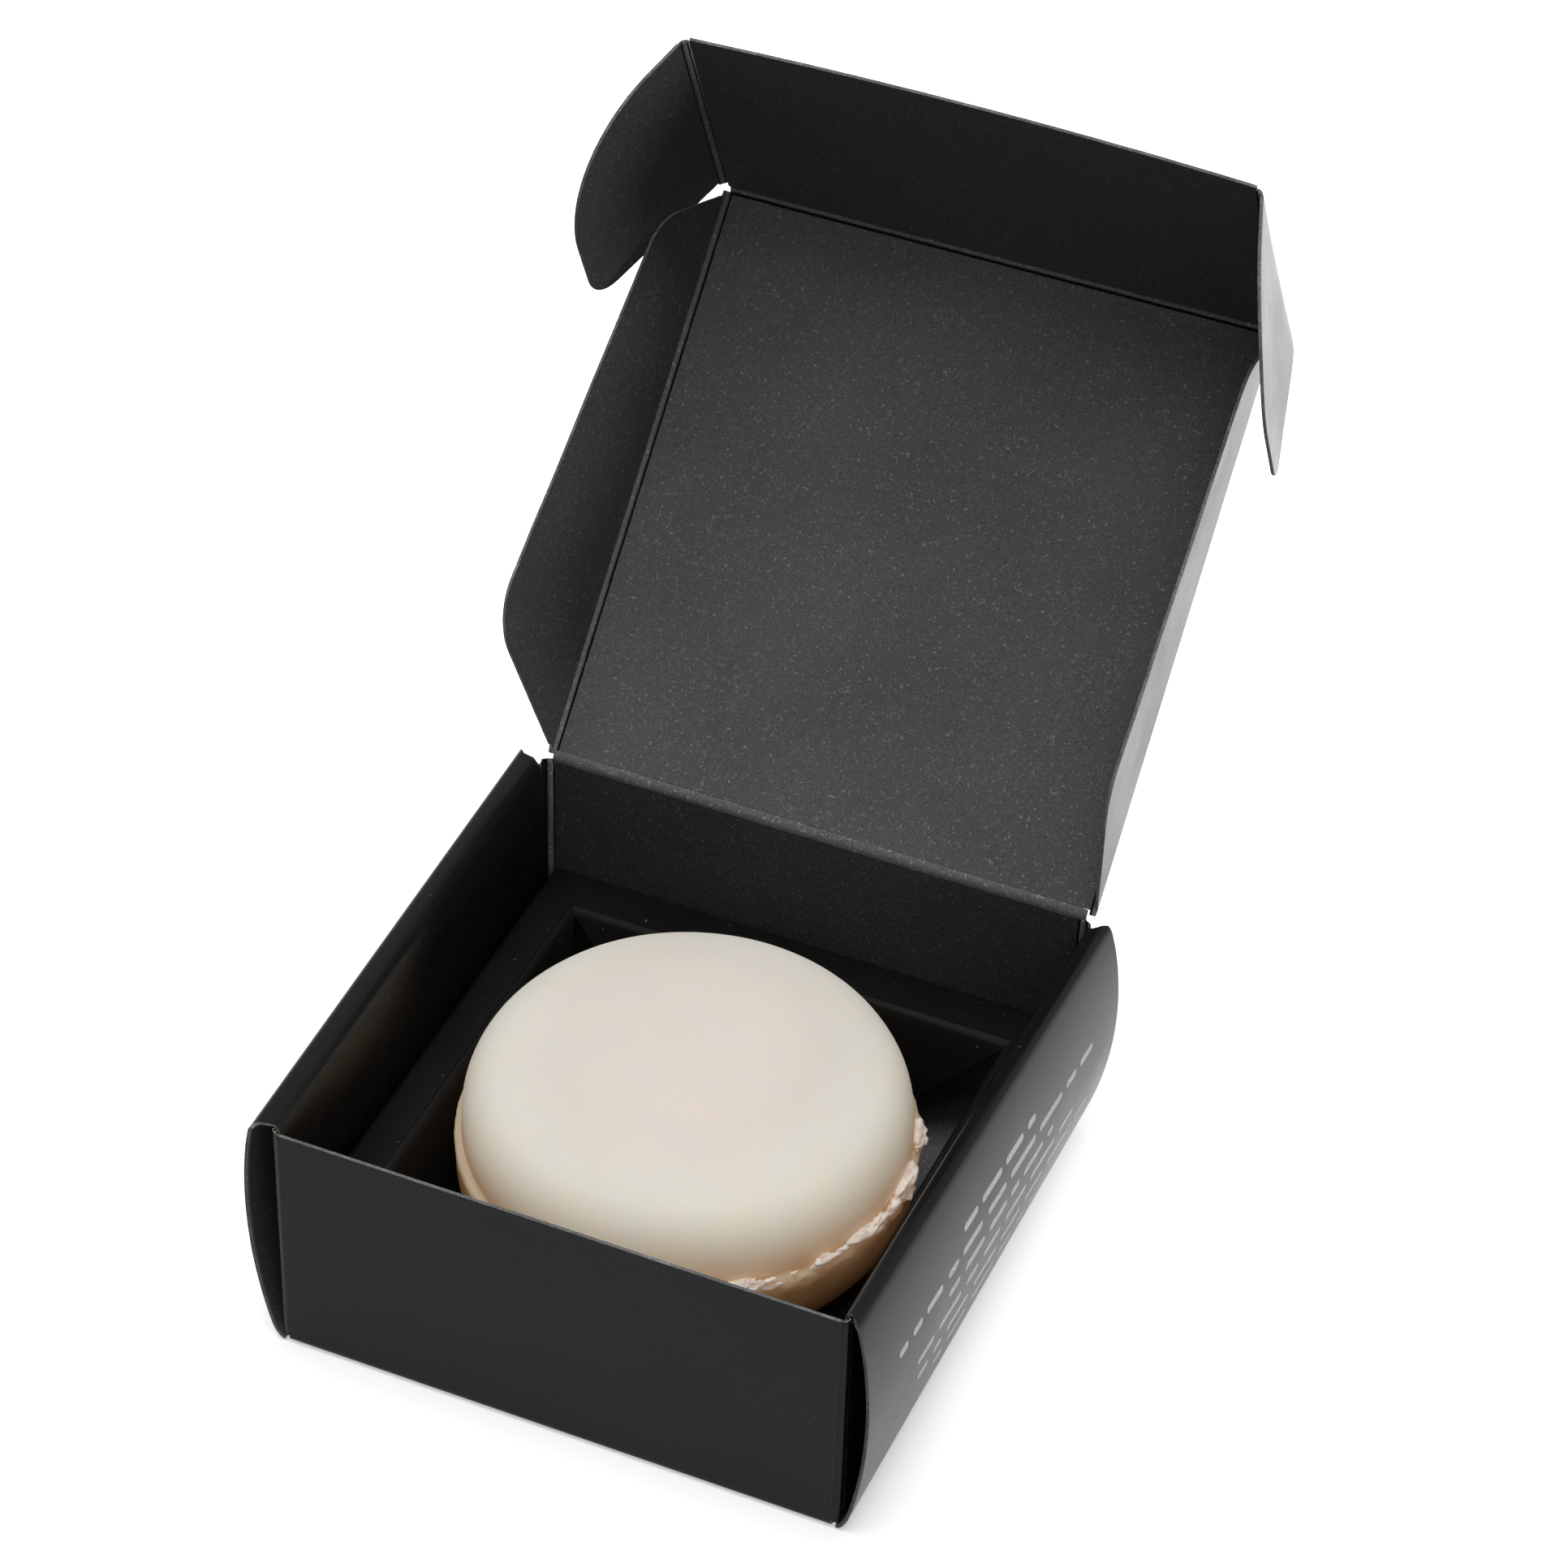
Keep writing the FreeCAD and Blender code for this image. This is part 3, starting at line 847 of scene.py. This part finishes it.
def print_bars():
    """Rows of plain pale bars on the right wall, where a carton carries its directions."""
    random.seed(7)
    verts = []
    faces = []
    for line, (start, end) in enumerate(PRINT_ROWS):
        y = start
        while y < end - 1.0:
            stop = min(y + random.uniform(2.6, 9.0), end)
            first = len(verts)
            verts += print_bar(y, stop, FIRST_ROW - ROW_PITCH * line)
            faces += [(k, k + 2, k + 3, k + 1) for k in range(first, len(verts) - 2, 2)]
            y = stop + random.uniform(1.5, 2.1)
    count = len(verts)
    under = np.array(verts) - X * 0.05
    sides = [(there, here, count + here, count + there) for here, there in rim_edges(faces)]
    back = [tuple(count + k for k in face[::-1]) for face in faces]
    piece = make_piece("print_bars", np.vstack([verts, under]), faces + back + sides, (print_material(),))
    settle(piece, "carton", "carton_board")


def carton():
    base_panel()
    end_wall("front_wall", -1, WALL_TOP - 0.35)
    end_wall("back_wall", 1, HINGE[2] - CREASE_GAP)
    for name, wall in WALLS.items():
        wall.build(name)
    for name, side in (("left", -1), ("right", 1)):
        corner_flap("front", -1, name, side)
        corner_flap("back", 1, name, side)
    print_bars()


# ---------- lid

FLAP_FOLDS = {-1: 70.0, 1: 85.8}  # degrees that the lid flaps are folded in, by side
EAR_FOLDS = {-1: 71.0, 1: 72.6}  # and the lock ears
FRONT_TWIST = 1.0  # the front flap stands this many degrees further in at its right end
EDGE_REACH = 37.95  # from the front crease to the front flap's free edge
EAR_DEPTH = 28.0
EAR_BULGE = 2.84  # how far the right ear bows out beside the front crease
LID_WIDTH = LID_CREASES[-1] + LID_CREASES[1]
FLAP_WIDTH = EAR_CREASES[-1] + EAR_CREASES[1]


def flap_directions(share):
    """Down the front flap and in from it, for a share from its left end (0) to its right end (1)."""
    down = turned(ALONG, LID_IN, FRONT_FOLD + FRONT_TWIST * share)
    return down, np.cross(X, down)


def between_creases(u, width):
    """The share of the way from the left crease to the right one, for u from -1 to 1 on the panel."""
    margin = CREASE_GAP / width
    return margin + (1 - 2 * margin) * (u + 1) / 2


def lid_panel():
    length = LID_LENGTH - 2 * CREASE_GAP

    def point(u, v):
        s = CREASE_GAP + length * v
        x = -LID_CREASES[-1] + LID_WIDTH * between_creases(u, LID_WIDTH)
        dish = 0.7 * (1 - u * u) * math.sin(math.pi * v)
        sway = 0.16 * wobble((u * 40, s, 0), 30.0, 2.0) * (1 - u**4) * math.sin(math.pi * v) ** 0.3
        return HINGE + X * x + ALONG * s - LID_IN * (dish + sway)

    surface = grid(point, np.linspace(-1, 1, 57), np.linspace(0, 1, 61))
    settle(board("lid_sheet", surface, -LID_IN), "lid", "lid_board", "lid_panel")


def bend_across(strip, place):
    """Bake the crease's placement into its mesh; place, what its frame_at gives, is not used."""
    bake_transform(strip)


def side_flap(name, side):
    origin = HINGE + X * (side * LID_CREASES[side])
    across = turned(X * side, LID_IN, FLAP_FOLDS[side])
    normal = np.cross(ALONG, across) * -side
    corners = [(1.0, CREASE_GAP), (86.9, CREASE_GAP), (79.5, 13.1), (15.8, 21.6)]
    outline = rounded_outline(corners, {2: 9.0, 3: 11.0})

    def place(a, b):
        curl = 0.15 * wobble((a, b, side), 16.0, 3.0) * b / 20.0
        return origin + ALONG * a + across * b + normal * curl

    piece = board(f"{name}_lid_flap_sheet", disc(outline, 12, place), X * side, SHADED_FLAP_LOOK)
    settle(piece, f"{name}_side_flap", "lid_board", f"{name}_lid_flap")

    def frame_at(s):
        return origin + ALONG * s, X * (-side * CREASE_GAP), across * CREASE_GAP

    strip = crease(f"{name}_lid_crease", frame_at, (0.2, LID_LENGTH - 0.6), unit(across - X * side))
    bend_across(strip, frame_at(0.0))


def front_flap():
    length = EDGE_REACH - CREASE_GAP

    def point(u, v):
        share = between_creases(u, FLAP_WIDTH)
        down, inward = flap_directions(share)
        dish = (1.35 - u * u) * v
        nick = 0.05 * wobble((u * 43, 0, 0), 2.6, 5.0) if v > 0.99 else 0.0
        x = -EAR_CREASES[-1] + FLAP_WIDTH * share
        return TIP + X * x + down * (CREASE_GAP + length * v + nick) - inward * dish

    surface = grid(point, np.linspace(-1, 1, 81), np.linspace(0, 1, 29))
    outward = -flap_directions(0.5)[1]
    settle(board("front_flap_sheet", surface, outward, SHADED_FLAP_LOOK), "tuck_flap", "lid_board", "front_flap")

    def frame_at(x):
        down = flap_directions((x + EAR_CREASES[-1]) / FLAP_WIDTH)[0]
        return TIP + X * x, ALONG * -CREASE_GAP, down * CREASE_GAP

    span = (0.4 - LID_CREASES[-1], LID_CREASES[1] - 0.4)
    strip = crease("front_lid_crease", frame_at, span, unit(DOWN - ALONG), 0.42)
    bend_across(strip, frame_at(0.0))


def lock_ear(name, side):
    origin = TIP + X * (side * EAR_CREASES[side])
    down, inward = flap_directions(0.0 if side < 0 else 1.0)
    across = turned(X * side, inward, EAR_FOLDS[side])
    outward = np.cross(down, across) * side
    length = 38.0
    tip = EAR_DEPTH - 0.1
    corners = [(2.2, CREASE_GAP), (length, CREASE_GAP), (length + 0.2, tip), (4.6, tip)]
    outline = rounded_outline(corners, {2: 20.0, 3: 5.0})

    def place(a, b):
        swell = 0.12 * wobble((a, b, side), 14.0, 6.0) * b / EAR_DEPTH
        if side > 0:
            rise = 1 - math.exp(-max(b, 0.0) / 1.9)
            swell += EAR_BULGE * (1 - clamp(a / length)) * rise * (1 - 0.8 * b / EAR_DEPTH)
        return origin + down * a + across * b + outward * swell

    piece = board(f"{name}_lock_ear_sheet", disc(outline, 14, place), X * side, SHADED_FLAP_LOOK)
    settle(piece, f"{name}_ear", "lid_board", f"{name}_lock_ear")

    def frame_at(s):
        foot = origin + down * s
        return foot, X * (-side * CREASE_GAP), place(s, CREASE_GAP) - foot

    strip = crease(f"{name}_ear_crease", frame_at, (1.6, EDGE_REACH - 0.1), unit(across - X * side))
    bend_across(strip, frame_at(EDGE_REACH / 2))


def hinge_strip():
    """The lid's hinge: a soft rounded fold along the top of the back wall."""

    def frame_at(x):
        return HINGE + X * x, Z * -CREASE_GAP, ALONG * CREASE_GAP

    span = (0.3 - LID_CREASES[-1], HALF_WIDTH)
    strip = crease("lid_hinge_crease", frame_at, span, unit(-Y + Z * 0.4), 0.30, 0.0, soft_profile)
    bend_across(strip, frame_at(0.0))


def lid():
    lid_panel()
    front_flap()
    hinge_strip()
    for name, side in (("left", -1), ("right", 1)):
        side_flap(name, side)
        lock_ear(name, side)


# ---------- insert

WELL_X, WELL_Y = 34.5, 35.5
LEDGE_X, LEDGE_Y = 40.7, 42.7  # out to the folded-down edges
FOLD_RADIUS = 1.1
INSERT_SIDES = (  # name, way out, distances to the well and to the edge, and half the length of each
    ("left", -X, WELL_X, LEDGE_X, WELL_Y, LEDGE_Y),
    ("right", X, WELL_X, LEDGE_X, WELL_Y, LEDGE_Y),
    ("front", -Y, WELL_Y, LEDGE_Y, WELL_X, LEDGE_X),
    ("back", Y, WELL_Y, LEDGE_Y, WELL_X, LEDGE_X),
)


def rectangle_loop(reach_x, reach_y):
    """Evenly spaced points round a rectangle, 30 to a side."""
    corners = np.array([(-reach_x, -reach_y), (reach_x, -reach_y), (reach_x, reach_y), (-reach_x, reach_y)])
    per_side = 30
    loop = []
    for here, there in zip(corners, np.roll(corners, -1, axis=0)):
        loop += [here + (there - here) * n / per_side for n in range(per_side)]
    return loop


def insert_platform():
    """The ledge, from the soft folds of the well to the insert's outer folds."""
    inner = rectangle_loop(WELL_X + FOLD_RADIUS, WELL_Y + FOLD_RADIUS)
    outer = rectangle_loop(LEDGE_X, LEDGE_Y)
    rings = 6
    verts = []
    for t in np.linspace(0, 1, rings):
        for near, far in zip(inner, outer):
            x, y = near * (1 - t) + far * t
            sag = 0.12 * wobble((x, y, 0), 18.0, 8.0)
            verts.append(np.array([x, y, LEDGE - HALF_BOARD + sag]))
    surface = (np.array(verts), bands(0, rings, len(inner)))
    piece = board("insert_ledge", surface, Z, INSERT_LOOK)
    settle(piece, "insert", "insert_board", "insert_platform")


def folded_edge(name, node, edge, travel, half_length, turn, radius, length, mitre):
    """A flap that folds down from the ledge: edge is the middle of the fold's start.

    travel is the way the sheet runs before it turns down by turn degrees, and mitre is how much
    shorter each end gets for each millimetre of its run.
    """
    along = np.cross(Z, travel)
    fold_steps, flat_steps = 6, 14
    path = []
    end = math.radians(turn)
    for angle in np.linspace(0.0, end, fold_steps + 1):
        drop = edge + travel * radius * math.sin(angle) - Z * radius * (1 - math.cos(angle))
        path.append((drop, radius * math.sin(angle)))
    heading = travel * math.cos(end) - Z * math.sin(end)
    last, cut = path[-1]
    for n in range(1, flat_steps + 1):
        d = length * n / flat_steps
        path.append((last + heading * d, cut + d))

    def point(u, v):
        spot, run = path[int(v)]
        half = half_length - mitre * run
        sag = 0.10 * wobble((u * half, run, turn), 15.0, 9.0) * min(1.0, run / 3.0)
        return spot + along * (u * half) + np.cross(along, heading) * sag

    surface = grid(point, np.linspace(-1, 1, 41), range(len(path)))
    piece = board(name, surface, Z - travel * 0.5 if mitre else travel, INSERT_LOOK)
    settle(piece, "insert", "insert_board", node)


def insert():
    insert_platform()
    height = Z * (LEDGE - HALF_BOARD)
    for name, outward, near, _, half, _ in INSERT_SIDES:
        edge = outward * (near + FOLD_RADIUS) + height
        folded_edge(f"{name}_well_fold", f"{name}_well_flap", edge, -outward,
                    half + FOLD_RADIUS - 0.1, 70.0, FOLD_RADIUS, 14.2, 1.0)
    for name, outward, _, far, _, half in INSERT_SIDES:
        folded_edge(f"{name}_insert_fold", f"{name}_insert_support", outward * far + height,
                    outward, half - 0.2, 90.0, 0.35, 18.2, 0.0)


# ---------- soap


def uneven(degrees):
    """Noise round the parting line, which the bar's skin and the crumbs share."""
    return wobble((degrees, 0, 0), 6.0, 6.0)


def crumbling(azimuth):
    """How broken the parting line is, from 0 to 1: most at the front right."""
    degrees = math.degrees(azimuth)
    off = abs((degrees + 22.0 + 180.0) % 360.0 - 180.0)
    main = max(0.0, 1.0 - (off / 62.0) ** 4) * (0.55 + 0.7 * uneven(degrees))
    return max(main, 0.12 + 0.25 * max(0.0, wobble((degrees, 0, 0), 23.0, 2.0)))


def round_directions(azimuth):
    """Out from the soap's axis, and along its rim."""
    out = np.array([math.cos(azimuth), math.sin(azimuth), 0.0])
    return out, np.cross(Z, out)


def dome(reach, level, tip, steps):
    """Reach and height pairs up a dome, from its rim almost to its tip."""
    power = 2 / 2.7  # a little squarer than a circle
    pairs = []
    for n in range(steps):
        angle = math.pi / 2 * n / steps
        rise = math.sin(angle) ** power
        pairs.append((reach * math.cos(angle) ** power, level + (tip - level) * rise))
    return pairs


def puck_profile(radius, bottom, groove, crown):
    """Reach, height and how near the parting, from the crown down to the bottom."""
    steps = 46
    upper, lower, base = radius - 1.0, radius - 0.12, groove - 3.6
    rows = [(0.0, crown, 0.0)]
    rows += [(reach, height, 0.0) for reach, height in dome(upper, groove, crown, steps)[::-1]]
    rows += [
        (upper - 0.25, groove - 0.25, 0.5),
        (upper - 0.45, groove - 0.6, 0.9),
        (upper + 0.1, groove - 0.95, 1.0),
        (radius - 0.35, groove - 1.2, 1.0),
        (radius - 0.02, groove - 1.6, 1.0),
        (radius, groove - 2.2, 1.0),
        (radius - 0.05, groove - 2.9, 0.8),
        (lower, base, 0.5),
    ]
    for n, (reach, height) in enumerate(dome(lower, base, bottom, steps)[1:]):
        rows.append((reach, height, 0.25 if n < 5 else 0.0))
    rows.append((0.0, bottom, 0.0))
    return rows


def puck_point(reach, height, near, azimuth):
    """A point of the bar's skin: soft all over, and crumbled where it is near the parting."""
    out, _ = round_directions(azimuth)
    spot = out * reach + Z * height
    rough = near * crumbling(azimuth)
    push = rough * (0.9 * wobble(spot, 1.6, 1.0) + 0.6 * wobble(spot, 0.7, 2.0))
    lift = rough * 0.7 * wobble(spot, 1.9, 3.0)
    soft = 0.10 * wobble(spot, 13.0, 4.0)
    return spot + out * (push + soft * min(1.0, reach / 10.0)) + Z * (lift + soft * 0.5)


def soap_puck():
    low, high = node_box("soap_puck")
    parting = (low[2] + high[2]) / 2
    groove = parting + 1.5
    rows = puck_profile(high[0], low[2], groove, high[2])
    around = 360
    verts = [Z * rows[0][1]]
    for row in rows[1:-1]:
        verts += [puck_point(*row, 2 * math.pi * k / around) for k in range(around)]
    verts.append(Z * rows[-1][1])
    look = soap_material(parting, high[2])
    piece = make_piece("soap_puck_cast", verts, ball(0, len(rows) - 2, around), (look,), None, 75.0)
    settle(piece, "soap", "soap", "soap_puck")
    crumbs(high[0], groove)


CRUMB_TRIES = 230
CRUMB_RINGS, CRUMB_SPOKES = 6, 12


def crumb(centre, azimuth, size, stretch, seed):
    """The points of one flake: a rough lump that is drawn out along the rim."""
    out, along = round_directions(azimuth)
    flat = 0.6
    points = [centre + Z * size * flat]
    for ring in range(1, CRUMB_RINGS + 1):
        polar = math.pi * ring / (CRUMB_RINGS + 1)
        for spoke in range(CRUMB_SPOKES):
            turn = 2 * math.pi * spoke / CRUMB_SPOKES
            sideways = out * math.cos(turn) * 0.75 + along * math.sin(turn) * stretch
            way = sideways * math.sin(polar) + Z * math.cos(polar) * flat
            spot = centre + way * size
            rough = 1 + 0.55 * wobble(spot, 0.55, seed * 0.7) + 0.3 * wobble(spot, 0.25, seed * 0.3)
            points.append(centre + way * size * rough)
    points.append(centre - Z * size * flat)
    return points


def crumbs(radius, level):
    """Broken flakes of flash along the parting line, in one rough mesh."""
    random.seed(21)
    verts = []
    faces = []
    for n in range(CRUMB_TRIES):
        degrees = random.uniform(-70.0, 26.0)
        lumpy = 0.42 + 1.3 * uneven(degrees)
        if lumpy < random.uniform(0.15, 0.6):
            continue
        azimuth = math.radians(degrees)
        size = random.uniform(0.35, 1.15) * min(max(lumpy * 1.4, 0.5), 1.25)
        reach = radius - 0.45 + random.uniform(-0.25, 0.45)
        height = level - 0.9 + random.uniform(-1.0, 1.1)
        centre = round_directions(azimuth)[0] * reach + Z * height
        faces += ball(len(verts), CRUMB_RINGS, CRUMB_SPOKES)
        verts += crumb(centre, azimuth, size, random.uniform(1.0, 2.3), n)
    piece = make_piece("parting_crumbs", verts, faces, (crumb_material(),), None, 60.0)
    settle(piece, "soap", "soap")


# ---------- stage


def stage():
    size, drop = 6.0, 0.0003  # in metres
    corners = [(x * size, y * size, -drop) for x, y in ((-1, -1), (1, -1), (1, 1), (-1, 1))]
    mesh = bpy.data.meshes.new("floor")
    mesh.from_pydata(corners, [], [(0, 1, 2, 3)])
    mesh.materials.append(floor_material())
    floor = bpy.data.objects.new("floor", mesh)
    bpy.context.scene.collection.objects.link(floor)
    floor.visible_diffuse = False  # the floor shows in gloss, but throws no light up the walls


def sun(name, towards, strength, spread):
    """A soft distant light from a direction, spread over an angle in degrees."""
    data = bpy.data.lights.new(name, "SUN")
    data.energy = strength
    data.angle = math.radians(spread)
    light = bpy.data.objects.new(name, data)
    light.rotation_euler = (-Vector(towards)).to_track_quat("-Z", "Y").to_euler()
    light.visible_glossy = False
    bpy.context.scene.collection.objects.link(light)


def lights():
    """Soft suns in a white room that shows in gloss but lights little by itself."""
    world = bpy.data.worlds.new("studio")
    world.use_nodes = True
    tree = world.node_tree
    background = tree.nodes["Background"]
    background.inputs["Color"].default_value = (1.0, 1.0, 1.0, 1.0)
    diffuse = tree.nodes.new("ShaderNodeLightPath").outputs["Is Diffuse Ray"]
    tree.links.new(map_range(tree, diffuse, 0.0, 1.0, 1.0, 0.06), background.inputs["Strength"])
    world.cycles.sampling_method = "NONE"
    bpy.context.scene.world = world
    sun("overhead", (-0.08, 0.03, 0.99), 2.1, 44.0)
    sun("front_fill", (0.25, -0.62, 0.74), 0.8, 60.0)
    sun("side_fill", (0.99, -0.08, 0.06), 1.5, 10.0)


def camera():
    data = bpy.data.cameras.new("camera")
    data.lens = 115.2
    data.sensor_width = 36.0
    data.clip_start = 0.01
    view = bpy.data.objects.new("camera", data)
    place = Vector((0.2044, -0.4706, 0.5164))
    aim = Vector((0.0004, 0.0309, 0.0602))
    roll = math.radians(1.91)
    facing = (aim - place).to_track_quat("-Z", "Y").to_matrix().to_4x4()
    view.matrix_world = Matrix.Translation(place) @ facing @ Matrix.Rotation(roll, 4, "Z")
    bpy.context.scene.collection.objects.link(view)
    bpy.context.scene.camera = view


camera()
carton()
lid()
insert()
soap_puck()
stage()
lights()
bpy.context.scene.view_settings.view_transform = "Standard"
bpy.context.scene.view_settings.look = "None"
